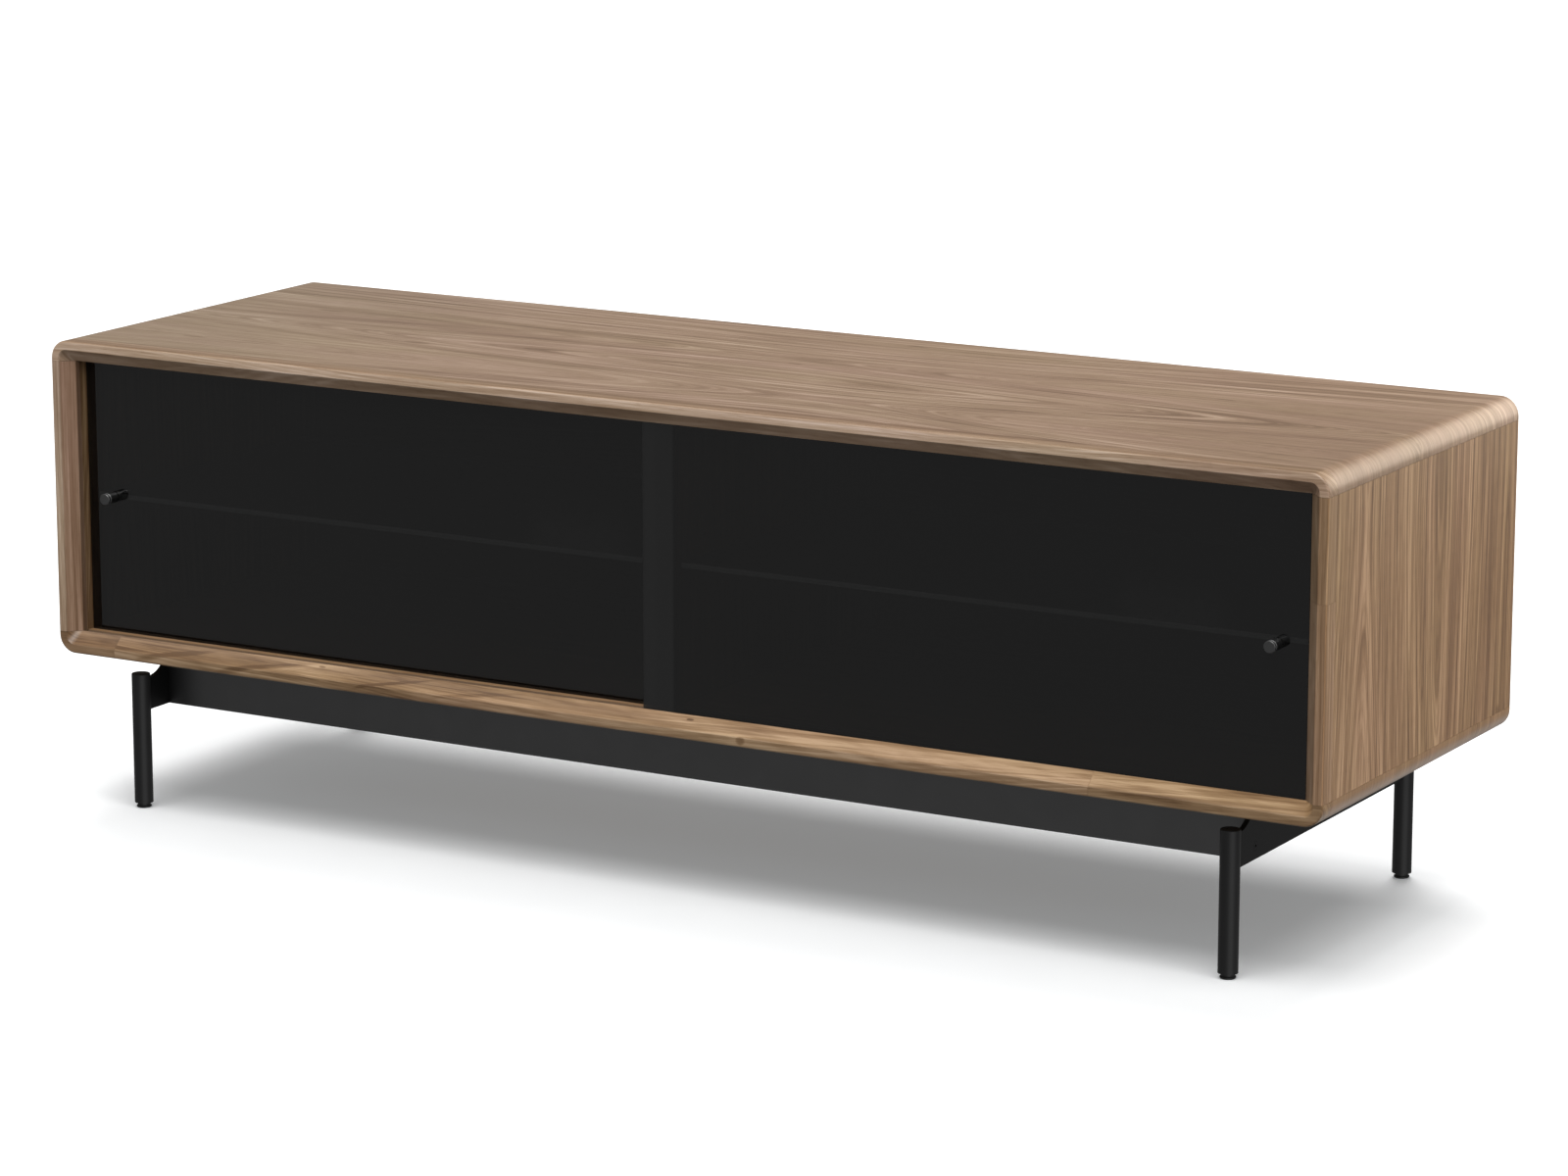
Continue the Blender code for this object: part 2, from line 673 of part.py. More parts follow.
def foot_mesh():
    """Levelling foot: broad pad, neck, and the stud that screws into the plug."""
    neck_top = LEG_BOTTOM - FIT_GAP
    profile = [
        (0, 0),
        (FOOT_RADIUS - FOOT_ROUND, 0),
        (FOOT_RADIUS, FOOT_ROUND),
        (FOOT_RADIUS, FOOT_BASE - FOOT_ROUND),
        (FOOT_RADIUS - FOOT_ROUND, FOOT_BASE),
        (FOOT_NECK_RADIUS, FOOT_BASE),
        (FOOT_NECK_RADIUS, neck_top),
        (FOOT_STUD_RADIUS, neck_top),
        (FOOT_STUD_RADIUS, neck_top + FOOT_STUD_LENGTH),
        (0, neck_top + FOOT_STUD_LENGTH),
    ]
    return lathe_mesh("levelling_foot", profile, FOOT_FACETS)


def legs(mats):
    leg, plug, foot = leg_mesh(), plug_mesh(), foot_mesh()
    for side, sign in SIDES:
        for end, y in (("front", FRONT_LEG_Y), ("rear", REAR_LEG_Y)):
            at = (sign * LEG_X, y, 0)
            place(f"leg_{end}_{side}", leg, mats["steel"], at)
            place(f"leg_plug_{end}_{side}", plug, mats["plastic"], at)
            place(f"levelling_foot_{end}_{side}", foot, mats["plastic"], at)


def notch(leg_y, inward):
    """Scoop in the top of a side plate, from the lug at the leg up to the case, as (y, z) points."""
    start = Vector((LEG_RADIUS, -LUG_DROP))
    end = Vector((NOTCH_REACH, 0))
    chord = end - start
    lift = math.sqrt(NOTCH_RADIUS**2 - (chord.length / 2) ** 2)
    across = Vector((-chord.y, chord.x)).normalized()
    centre = (start + end) / 2 + across * lift
    first = math.degrees(math.atan2(start.y - centre.y, start.x - centre.x))
    last = math.degrees(math.atan2(end.y - centre.y, end.x - centre.x))
    points = arc(centre, NOTCH_RADIUS, first, last, NOTCH_STEPS)
    return [(leg_y + inward * u, PLATE_TOP + v) for u, v in points]


def bolt_places(sign):
    """Where the bolts of one side plate stand: (name of the end, point on the outer face)."""
    face = sign * (LEG_X + PLATE_THICKNESS / 2)
    return (
        ("front", (face, FRONT_BEAM_Y + BOLT_SETBACK, BOLT_Z)),
        ("rear", (face, REAR_BEAM_Y - BOLT_SETBACK, BOLT_Z)),
    )


def side_plate(side, sign, mats):
    """Plate between the front and rear legs, scooped out next to each leg and coped to its tube."""
    front_notch = notch(FRONT_LEG_Y, 1)
    rear_notch = notch(REAR_LEG_Y, -1)
    lug_top = front_notch[0][1]
    outline = [(FRONT_LEG_Y, PLATE_BOTTOM), (FRONT_LEG_Y, lug_top)] + front_notch
    outline += rear_notch[::-1] + [(REAR_LEG_Y, lug_top), (REAR_LEG_Y, PLATE_BOTTOM)]
    middle = sign * LEG_X
    half = PLATE_THICKNESS / 2
    plate = prism(f"side_plate_{side}", outline, "X", middle - half, middle + half, mats["steel"])
    cutters = [
        rod("cope", (middle, y, PLATE_TOP), LEG_RADIUS + FIT_GAP, 4 * PLATE_HEIGHT, "Z", LEG_FACETS)
        for y in (FRONT_LEG_Y, REAR_LEG_Y)
    ]
    for _, (x, y, z) in bolt_places(sign):
        turn = (0, sign * math.pi / 2, 0)
        cutters.append(place("sink", countersink_mesh(), None, (x, y, z), turn))
    carve(plate, *cutters)


def countersink_mesh():
    """Cutter for a countersunk hole; local Z points out of the plate and its face is at the origin."""
    mouth = BOLT_HEAD_RADIUS + FIT_GAP
    hole = BOLT_RADIUS + FIT_GAP
    profile = [
        (0, -2 * PLATE_THICKNESS),
        (hole, -2 * PLATE_THICKNESS),
        (hole, hole - mouth),
        (mouth, 0),
        (mouth, PLATE_THICKNESS),
        (0, PLATE_THICKNESS),
    ]
    return lathe_mesh("countersink", profile, SMALL_FACETS)


def bolt_mesh():
    """Countersunk bolt with a hexagon socket; local Z points out and its face is at the origin."""
    profile = [
        (0, -BOLT_LENGTH),
        (BOLT_RADIUS, -BOLT_LENGTH),
        (BOLT_RADIUS, BOLT_RADIUS - BOLT_HEAD_RADIUS),
        (BOLT_HEAD_RADIUS, 0),
        (0, 0),
    ]
    bolt = place("bolt", lathe_mesh("beam_bolt", profile, SMALL_FACETS), None)
    carve(bolt, rod("socket", (0, 0, 0), BOLT_SOCKET_RADIUS, 2 * BOLT_SOCKET_DEPTH, "Z", 6))
    mesh = bolt.data
    bpy.data.objects.remove(bolt)
    return mesh


def beam_bolts(mats):
    mesh = bolt_mesh()
    for side, sign in SIDES:
        for end, at in bolt_places(sign):
            place(f"beam_bolt_{end}_{side}", mesh, mats["steel"], at, (0, sign * math.pi / 2, 0))


def beam(name, face_y, inward, mat):
    """Folded channel between the side plates: web outwards, flanges and end tabs folded in."""
    reach = LEG_X - PLATE_THICKNESS / 2 - FIT_GAP
    near, far = sorted((face_y, face_y + inward * BEAM_DEPTH))
    channel = box(name, (-reach, near, PLATE_BOTTOM), (reach, far, PLATE_TOP), mat)
    near, far = sorted((face_y + inward * BEAM_SHEET, face_y + inward * 2 * BEAM_DEPTH))
    hollow = box(
        "hollow",
        (-reach + BEAM_SHEET, near, PLATE_BOTTOM + BEAM_SHEET),
        (reach - BEAM_SHEET, far, PLATE_TOP - BEAM_SHEET),
    )
    bolt_y = face_y + inward * BOLT_SETBACK
    hole = rod("bolt_hole", (0, bolt_y, BOLT_Z), BOLT_RADIUS + FIT_GAP, 3 * reach, "X")
    carve(channel, hollow, hole)


# ---------------------------------------------------------------- assembly


def make_materials():
    return {
        "veneer": make_material("walnut_veneer", (0.21, 0.12, 0.065), 0.45),
        "solid_wood": make_material("solid_walnut", (0.25, 0.15, 0.085), 0.42),
        "back": make_material("back_board", (0.16, 0.095, 0.055), 0.55),
        "door_glass": make_material("smoked_glass", (0.012, 0.012, 0.012), 0.03),
        "shelf_glass": make_material("shelf_glass", (0.30, 0.33, 0.32), 0.03, transmission=0.8),
        "steel": make_material("black_steel", (0.022, 0.022, 0.022), 0.42, metallic=0.2),
        "knob": make_material("black_knob", (0.020, 0.020, 0.020), 0.35, metallic=0.4),
        "plastic": make_material("black_plastic", (0.018, 0.018, 0.018), 0.50),
        "channel": make_material("brown_plastic", (0.085, 0.050, 0.028), 0.50),
        "nylon": make_material("nylon", (0.60, 0.59, 0.55), 0.50),
        "zinc": make_material("zinc_steel", (0.55, 0.55, 0.54), 0.35, metallic=1.0),
    }


def build():
    clear_scene()
    mats = make_materials()

    level_panel("top_panel", True, mats["veneer"])
    level_panel("bottom_panel", False, mats["veneer"])
    level_edge("top_front_edge", True, mats["solid_wood"])
    level_edge("bottom_front_edge", False, mats["solid_wood"])
    center_divider(mats["veneer"])
    for side, sign in SIDES:
        side_panel(f"{side}_side_panel", sign, mats["veneer"])
        upright_edge(f"{side}_front_edge", sign, mats["solid_wood"])
        back_panel(f"back_panel_{side}", sign, mats["back"])
        shelf(side, sign, mats)

    for end, y in (("front", FRONT_GROOVE), ("rear", REAR_GROOVE)):
        door_channel(f"upper_channel_{end}", y, True, mats["channel"])
        door_channel(f"lower_channel_{end}", y, False, mats["channel"])
    sliding_door("left", -1, REAR_GROOVE, mats)
    sliding_door("right", 1, FRONT_GROOVE, mats)

    legs(mats)
    for side, sign in SIDES:
        side_plate(side, sign, mats)
    beam_bolts(mats)
    beam("front_beam", FRONT_BEAM_Y, 1, mats["steel"])
    beam("rear_beam", REAR_BEAM_Y, -1, mats["steel"])
    bpy.context.view_layer.update()


build()
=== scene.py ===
"""Looks of the media cabinet: satin walnut, smoked glass and black powder-coated steel, in a white studio.

Metres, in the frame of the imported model: +X runs along the width, -Y is the front and +Z is up. Every
node keeps its CAD solid, with its curved faces shaded smooth by a modifier, and gets a procedural material.
"""

import math

import bpy
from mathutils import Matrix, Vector


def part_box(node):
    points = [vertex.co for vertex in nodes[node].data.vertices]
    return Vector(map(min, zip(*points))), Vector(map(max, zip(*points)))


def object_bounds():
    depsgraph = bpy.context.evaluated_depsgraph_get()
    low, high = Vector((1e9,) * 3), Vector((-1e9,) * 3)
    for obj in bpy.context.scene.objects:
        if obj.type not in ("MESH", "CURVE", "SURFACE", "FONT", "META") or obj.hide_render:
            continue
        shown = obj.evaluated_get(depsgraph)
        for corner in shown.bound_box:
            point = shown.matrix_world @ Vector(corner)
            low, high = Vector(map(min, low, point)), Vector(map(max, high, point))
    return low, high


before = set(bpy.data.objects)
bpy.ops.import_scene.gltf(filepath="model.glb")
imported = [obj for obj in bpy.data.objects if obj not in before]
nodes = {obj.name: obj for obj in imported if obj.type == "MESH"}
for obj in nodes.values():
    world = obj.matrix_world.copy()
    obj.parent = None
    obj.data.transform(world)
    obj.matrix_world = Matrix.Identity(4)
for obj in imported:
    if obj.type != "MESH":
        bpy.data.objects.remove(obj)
cad_low, cad_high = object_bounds()

# ---------------------------------------------------------------- shader arithmetic

MIX_COLOR_A, MIX_COLOR_B, MIX_COLOR_RESULT = 6, 7, 2


class Value:
    """A shader socket that takes part in plain arithmetic."""

    def __init__(self, graph, socket):
        self.graph = graph
        self.socket = socket

    def __add__(self, other):
        return self.graph.math("ADD", self, other)

    def __sub__(self, other):
        return self.graph.math("SUBTRACT", self, other)

    def __rsub__(self, other):
        return self.graph.math("SUBTRACT", other, self)

    def __mul__(self, other):
        return self.graph.math("MULTIPLY", self, other)


class Graph:
    """The nodes of one material or world. A node input takes a Value or a plain number."""

    def __init__(self, owner):
        owner.use_nodes = True
        self.tree = owner.node_tree

    def node(self, kind, **settings):
        made = self.tree.nodes.new(kind)
        for name, value in settings.items():
            setattr(made, name, value)
        return made

    def feed(self, socket, value):
        if isinstance(value, Value):
            self.tree.links.new(value.socket, socket)
        else:
            socket.default_value = value

    def math(self, operation, *values):
        made = self.node("ShaderNodeMath", operation=operation)
        for socket, value in zip(made.inputs, values):
            self.feed(socket, value)
        return Value(self, made.outputs[0])

    def place(self):
        """X, Y and Z of the point, in the frame of the cabinet."""
        split = self.node("ShaderNodeSeparateXYZ")
        self.tree.links.new(self.node("ShaderNodeTexCoord").outputs["Object"], split.inputs[0])
        return [Value(self, socket) for socket in split.outputs]

    def vector(self, x, y, z=0.0):
        made = self.node("ShaderNodeCombineXYZ")
        for socket, value in zip(made.inputs, (x, y, z)):
            self.feed(socket, value)
        return Value(self, made.outputs[0])

    def noise(self, x, y, z=0.0, detail=2.0, roughness=0.5):
        """Smooth noise about 0, mostly within 0.5 either way."""
        made = self.node("ShaderNodeTexNoise")
        made.inputs["Scale"].default_value = 1.0
        made.inputs["Detail"].default_value = detail
        made.inputs["Roughness"].default_value = roughness
        self.feed(made.inputs["Vector"], self.vector(x, y, z))
        return Value(self, made.outputs[0]) - 0.5

    def smooth_step(self, value, low, high):
        """0 at low and 1 at high, which may be the smaller of the two."""
        made = self.node("ShaderNodeMapRange", interpolation_type="SMOOTHSTEP")
        self.feed(made.inputs["Value"], value)
        self.feed(made.inputs["From Min"], low)
        self.feed(made.inputs["From Max"], high)
        return Value(self, made.outputs[0])

    def ramp(self, value, stops):
        """Colour for a value: stops are (position, (red, green, blue))."""
        made = self.node("ShaderNodeValToRGB")
        elements = made.color_ramp.elements
        while len(elements) < len(stops):
            elements.new(0.5)
        for element, (position, color) in zip(elements, stops):
            element.position = position
            element.color = (*color, 1.0)
        self.feed(made.inputs[0], value)
        return Value(self, made.outputs[0])

    def mix(self, factor, first, second, blend="MIX"):
        """Blend two colours. The node keeps its inputs for colours after those for other kinds."""
        made = self.node("ShaderNodeMix", data_type="RGBA", blend_type=blend)
        self.feed(made.inputs[0], factor)
        for index, value in ((MIX_COLOR_A, first), (MIX_COLOR_B, second)):
            self.feed(made.inputs[index], value if isinstance(value, Value) else (*value, 1.0))
        return Value(self, made.outputs[MIX_COLOR_RESULT])

    def tinted(self, color, tint):
        return self.mix(1.0, color, tint, "MULTIPLY")

    def bump(self, height, strength, distance):
        made = self.node("ShaderNodeBump")
        made.inputs["Strength"].default_value = strength
        made.inputs["Distance"].default_value = distance
        self.feed(made.inputs["Height"], height)
        return Value(self, made.outputs[0])


def material(name, **sockets):
    """A material with plain numbers set on its shader, and the graph to build the rest of it with."""
    made = bpy.data.materials.new(name)
    graph = Graph(made)
    graph.shader = graph.tree.nodes["Principled BSDF"]
    for socket, value in sockets.items():
        graph.shader.inputs[socket.replace("_", " ")].default_value = value
    return made, graph


# ---------------------------------------------------------------- walnut

TURN_RADIUS = 0.08  # of the arches, where they turn
HEART_BLEND = 0.05  # over which one heart's rings run into another's
HEART_EDGE = (-0.012, 0.018)  # where the fine lines of the rings come up to their full strength
HEART_CALM = 0.30  # how strong they are at the heart itself
FACE_DEPTH = 0.0005  # of the wood that counts as an outer face
SPLICE_HALF = 0.0004
SPLICE_DARK = 0.10
SPLICE_OFFSET = 0.37  # how far across the log the next length of wood comes from
FLECK_FADE = (1.0, 0.1)  # from the rim of a fleck in to its middle, in squares of its radius
PORE_DARK = 0.10
PORE_DEPTH = 0.0003
LACQUER_ROUGHNESS = 0.42
WHITE = (1.0, 1.0, 1.0)
PINKER, YELLOWER, COOLER = (1.03, 0.99, 1.03), (0.99, 1.01, 0.93), (0.95, 1.01, 1.01)

# About how many streaks of each kind lie side by side in a metre, and end to end in a metre.
BANDS, LINES, STREAKS = (30.0, 0.9), (110.0, 1.5), (420.0, 3.5)
VEINS, FIBRES, PORES = (230.0, 2.4), (1500.0, 38.0), (1250.0, 55.0)


def ring_field(g, along, across, hearts):
    """Distance from the heart of the log, which the growth rings of a plain-sawn board follow.

    A heart is (its place across, where its arches turn, its depth under the face, and how fast they
    open on either side of that turn). Where two hearts meet, the nearer one rules.
    """
    field = None
    for centre, turn, depth, after, before in hearts:
        sway = g.noise(along * 1.7, centre * 40.0, detail=1.0) * 0.030
        v = across - centre + sway
        u = along - turn
        arch = g.math("SQRT", v * v + depth * depth)
        bend = g.math("SQRT", u * u + TURN_RADIUS**2)
        slope = bend * ((after + before) / 2.0) + u * ((after - before) / 2.0)
        ring = arch - slope
        field = ring if field is None else g.math("SMOOTH_MIN", field, ring, HEART_BLEND)
    return field


def wood_stops(red, green, blue):
    """Walnut's way from late wood to early wood, about its mean colour: the dark end is redder."""
    steps = ((0.05, 0.42), (0.38, 0.82), (0.62, 1.13), (0.95, 1.78))
    return [(place, (red * tone**0.92, green * tone**1.12, blue * tone**1.40)) for place, tone in steps]


def walnut(name, direction, hearts, mean, seed, contrast, run=1.0, figure=0.0, lean=(0.0, 0.0),
           cool=None, flecks=(), splices=(), faces=()):
    """Lacquered walnut. direction gives the places along and across the grain from X, Y and Z.

    mean is its mean colour and contrast how strong its streaks are. seed sets one board's pattern
    apart from another's. run is how fast the streaks end along the grain, figure how strong the
    slanting flames are, and lean how much lighter it gets in a metre along and across.
    cool is the span along the grain in which its red fades.
    flecks are marks and clouds: (their place along and across, their half-length, their half-width,
    how dark, how steeply they cross the board).
    splices are (place along the grain, how much lighter the length beyond it is), where lengths of
    solid wood are joined end to end.
    faces are (axis, its place, tint) of outer faces: veneer lapped on a top or side, painted light and
    sheen on a front flat.
    """
    made, g = material(name, Roughness=LACQUER_ROUGHNESS, Specular_IOR_Level=0.36)
    here = g.place()
    along, board_across = direction(*here)
    across = board_across
    shift = along * lean[0] + across * lean[1]
    for place, change in splices:
        beyond = g.smooth_step(along, place - SPLICE_HALF, place + SPLICE_HALF)
        across = across + beyond * SPLICE_OFFSET
        joint = g.smooth_step(g.math("ABSOLUTE", along - place), 3.0 * SPLICE_HALF, SPLICE_HALF)
        shift = shift + beyond * change - joint * SPLICE_DARK

    # The growth rings, which wander as the log grew and run calmer near its heart.
    wander = g.noise(along * 2.2, across * 7.0, seed) * 0.014
    ripple = g.noise(along * 12.0, across * 60.0, seed + 3.0, detail=1.0) * 0.0012
    field = ring_field(g, along, across, hearts)
    rings = field + wander + ripple
    calm = g.smooth_step(field, *HEART_EDGE) * (1.0 - HEART_CALM) + HEART_CALM

    def drawn_out(place, kind, stretch, offset, **settings):
        """Noise in streaks along the grain."""
        side_by_side, end_to_end = kind
        return g.noise(place * side_by_side, along * stretch * end_to_end, seed + offset, **settings)

    # Bands, lines and streaks follow the rings, the others run straight.
    band = drawn_out(rings, BANDS, run, 5.0, detail=1.0)
    line = drawn_out(rings, LINES, run, 11.0, detail=3.0, roughness=0.7)
    streak = drawn_out(rings, STREAKS, run, 17.0, roughness=0.6)
    vein = drawn_out(across, VEINS, run, 29.0, detail=3.0, roughness=0.7)
    fibre = drawn_out(across, FIBRES, 1.0, 0.0, detail=1.0)
    pore = g.smooth_step(drawn_out(across, PORES, 1.0, 23.0, detail=0.0), 0.16, 0.30)

    tone = band * 0.35 + (line * 1.00 + streak * 0.80) * calm + vein * 0.75 + fibre * 0.30
    flame = g.noise(along * 13.0 + across * 38.0, across * 48.0, seed + 37.0)
    tone = tone * contrast + flame * figure + shift + 0.5
    for at_along, at_across, length, width, depth, slant in flecks:
        u = (along - at_along) * (1.0 / length)
        v = (board_across - at_across - u * (length * slant)) * (1.0 / width)
        near = g.smooth_step(u * u + v * v, *FLECK_FADE)
        tone = tone - near * depth
    tone = tone - pore * PORE_DARK * contrast

    hue = g.noise(along * 2.5, across * 16.0, seed + 31.0) * 1.8 + 0.5
    drift = g.mix(hue, PINKER, YELLOWER)
    color = g.tinted(g.ramp(tone, wood_stops(*mean)), drift)
    if cool:
        color = g.tinted(color, g.mix(g.smooth_step(along, *cool), WHITE, COOLER))
    # A top or side face takes the tone of the veneer lapped over it; a front flat takes painted light and
    # sheen.
    for axis, place, tint in faces:
        outward = math.copysign(FACE_DEPTH, place)
        outside = g.smooth_step(here[axis], place - outward * 3.0, place - outward)
        color = g.tinted(color, g.mix(outside, WHITE, tint))
    g.feed(g.shader.inputs["Base Color"], color)
    g.feed(g.shader.inputs["Roughness"], g.math("MULTIPLY_ADD", fibre, 0.14, LACQUER_ROUGHNESS))
    g.feed(g.shader.inputs["Normal"], g.bump(fibre * 0.6 - pore, 0.12, PORE_DEPTH))
    return made


CASE_TOP = cad_high.z
SIDE = cad_high.x
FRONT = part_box("top_front_edge")[0].y
BACK_MIDDLE = sum(corner.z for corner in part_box("back_panel_left")) / 2.0
AXIS_X, AXIS_Y, AXIS_Z = 0, 1, 2
BEVEL_TURN = 0.8  # how much of the way down its bevel counts as across a rail


def level_veneer(x, y, z):
    """Grain along the width, carried round the rounded right end."""
    beyond_end = CASE_TOP - z
    return x + beyond_end, y


def underside_veneer(x, y, z):
    return x, y


def upright_veneer(x, y, z):
    return z, y


def back_board(x, y, z):
    """Grain along the width on the upright boards of the back."""
    return x, z - BACK_MIDDLE


def level_rail(x, y, z):
    return x, y + z * BEVEL_TURN


def upright_rail(x, y, z):
    return z, y + x * BEVEL_TURN


# The hearts and flecks of each board, as ring_field and walnut take them.
TOP_HEARTS = (
    (-0.145, 0.165, 0.030, 0.165, 0.110),
    (0.070, 0.020, 0.024, 0.085, 0.060),
)
TOP_FLECKS = (
    (0.086, 0.210, 0.016, 0.0035, 0.26, 0.0),
    (0.020, 0.040, 0.014, 0.0030, 0.26, 0.0),
    (0.543, 0.077, 0.014, 0.0025, 0.26, 0.0),
    (-0.432, -0.056, 0.022, 0.0050, 0.26, 0.0),
    (-0.682, -0.151, 0.022, 0.0040, 0.26, 0.0),
    (-0.148, 0.077, 0.008, 0.0025, 0.26, 0.0),
    (-0.649, 0.082, 0.024, 0.0040, 0.26, 0.0),
    (0.740, -0.060, 0.300, 0.200, 0.11, 0.0),
    (-0.480, 0.050, 0.250, 0.130, 0.10, 0.0),
)
SIDE_HEARTS = (
    (-0.158, 0.470, 0.018, 0.050, 0.100),
    (0.230, 0.600, 0.010, 0.030, 0.016),
)
SIDE_FLECKS = (
    (0.270, 0.002, 0.011, 0.0022, 0.26, 0.0),
    (0.202, 0.216, 0.014, 0.0060, 0.26, 0.0),
)
RAIL_HEARTS = ((-0.60, 0.1, 0.05, 0.02, 0.02),)
BOTTOM_HEARTS = (
    (-0.088, -0.560, 0.004, 0.070, 0.030),
    (-0.066, 0.120, 0.006, 0.018, 0.060),
)
BOTTOM_FLECKS = (
    (-0.720, -0.0860, 0.320, 0.0200, 0.30, 0.0),
    (-0.300, -0.0860, 0.160, 0.0200, 0.22, 0.0),
    (0.520, -0.0880, 0.340, 0.0170, -0.28, 0.0),
    (-0.649, -0.0940, 0.065, 0.0055, 0.40, 0.26),
    (-0.530, -0.0960, 0.080, 0.0050, 0.40, 0.24),
    (-0.490, -0.0900, 0.070, 0.0060, -0.20, 0.24),
    (-0.343, -0.0918, 0.060, 0.0035, 0.45, 0.27),
    (-0.231, -0.0925, 0.070, 0.0040, 0.25, 0.21),
    (-0.445, -0.0806, 0.006, 0.0020, 0.60, 0.0),
    (0.0494, -0.0830, 0.0058, 0.0024, 0.90, 0.0),
    (0.1192, -0.1038, 0.0070, 0.0050, 0.45, 0.0),
)

TOP_MEAN = (0.190, 0.125, 0.081)
SIDE_MEAN = (0.185, 0.107, 0.052)
TOP_RAIL_MEAN = (0.216, 0.143, 0.092)
BOTTOM_RAIL_MEAN = (0.182, 0.108, 0.054)
LEFT_RAIL_MEAN = (0.180, 0.106, 0.066)
RIGHT_RAIL_MEAN = (0.130, 0.083, 0.050)

veneer_top = walnut("walnut_veneer_top", level_veneer, TOP_HEARTS, TOP_MEAN, seed=1.0, contrast=1.25,
                    run=1.3, cool=(-0.25, -0.80), flecks=TOP_FLECKS)
veneer_under = walnut("walnut_veneer_under", underside_veneer, TOP_HEARTS, SIDE_MEAN, seed=7.0,
                      contrast=1.35)
veneer_side = walnut("walnut_veneer_side", upright_veneer, SIDE_HEARTS, SIDE_MEAN, seed=2.0,
                     contrast=1.95, run=0.8, lean=(0.0, -0.50), flecks=SIDE_FLECKS)
veneer_upright = walnut("walnut_veneer_upright", upright_veneer, SIDE_HEARTS, SIDE_MEAN, seed=9.0,
                        contrast=1.35)
back_veneer = walnut("walnut_veneer_back", back_board, TOP_HEARTS, SIDE_MEAN, seed=13.0, contrast=1.25)
# The front flats of the rails are painted lighter, darker or greyer than their bevels: painted light, shade
# and sheen.
top_rail = walnut("solid_walnut_top", level_rail, RAIL_HEARTS, TOP_RAIL_MEAN, seed=4.0, contrast=1.2,
                  lean=(-0.11, 0.0),
                  faces=((AXIS_Y, FRONT, (1.25, 1.34, 1.46)), (AXIS_Z, CASE_TOP, (0.72, 0.68, 0.62))))
bottom_rail = walnut("solid_walnut_bottom", level_rail, BOTTOM_HEARTS, BOTTOM_RAIL_MEAN, seed=5.0,
                     contrast=1.25, figure=0.95, lean=(-0.05, 0.0), flecks=BOTTOM_FLECKS,
                     splices=((-0.735, 0.06), (0.545, -0.04)),
                     faces=((AXIS_Y, FRONT, (0.88, 0.92, 1.00)),))
left_rail = walnut("solid_walnut_left", upright_rail, RAIL_HEARTS, LEFT_RAIL_MEAN, seed=6.0, contrast=1.4,
                   faces=((AXIS_Y, FRONT, (1.23, 1.46, 1.60)),))
right_rail = walnut("solid_walnut_right", upright_rail, RAIL_HEARTS, RIGHT_RAIL_MEAN, seed=8.0,
                    contrast=1.2, splices=((0.415, -0.05),),
                    faces=((AXIS_Y, FRONT, (1.28, 1.22, 1.15)), (AXIS_X, SIDE, (1.50, 1.42, 1.28))))

# ---------------------------------------------------------------- glass, steel and plastic


GLASS_LEVEL = 0.0012
GLASS_HAZE = 0.0008
PAINTED_STRIP_PAST = (0.0105, 0.0085)  # past the end of the rear door: where the painted reflection of its pane fades in
PAINTED_STRIP_LEVEL = 0.005
SHELF_EDGE = 0.002
SHELF_ALPHA = 0.40


def smoked_glass(name, overlap_end=None):
    """Dark glass. Where it hangs over the other door, which ends at overlap_end, a lighter strip is
    painted: a painted reflection of the pane behind.
    """
    made, g = material(name, Roughness=0.03, Specular_IOR_Level=0.63, Alpha=0.73)
    x, _, z = g.place()
    haze = g.noise(x * 6.0, z * 6.0, detail=3.0) * GLASS_HAZE
    level = haze + GLASS_LEVEL
    # Painted reflection: the strip over the other door is painted lighter, for its pane seen behind this
    # one.
    if overlap_end is not None:
        painted_reflection = g.smooth_step(x, *(overlap_end + past for past in PAINTED_STRIP_PAST))
        level = level + painted_reflection * PAINTED_STRIP_LEVEL
    g.feed(g.shader.inputs["Base Color"], g.vector(level, level, level))
    return made


def shelf_glass():
    """Lightly tinted glass, pale and opaque at its front and rear edges, as ground glass edges are, with a
    painted glow for the light they catch.
    """
    made, g = material("shelf_glass", Roughness=0.22, Specular_IOR_Level=0.12, Alpha=SHELF_ALPHA)
    _, y, _ = g.place()
    low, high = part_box("shelf_left")
    # The edges are pale as ground glass is, and painted brighter for the light they catch.
    front_edge = g.smooth_step(y, low.y + SHELF_EDGE, low.y)
    rear_edge = g.smooth_step(y, high.y - SHELF_EDGE, high.y)
    painted_edge_glow = front_edge + rear_edge
    g.feed(g.shader.inputs["Base Color"], g.mix(painted_edge_glow, (0.06, 0.07, 0.066), (0.66, 0.68, 0.66)))
    g.feed(g.shader.inputs["Alpha"], painted_edge_glow * (1.0 - SHELF_ALPHA) + SHELF_ALPHA)
    return made


BROAD_GRAIN = 30.0
TEXTURE_DEPTH = 0.0001


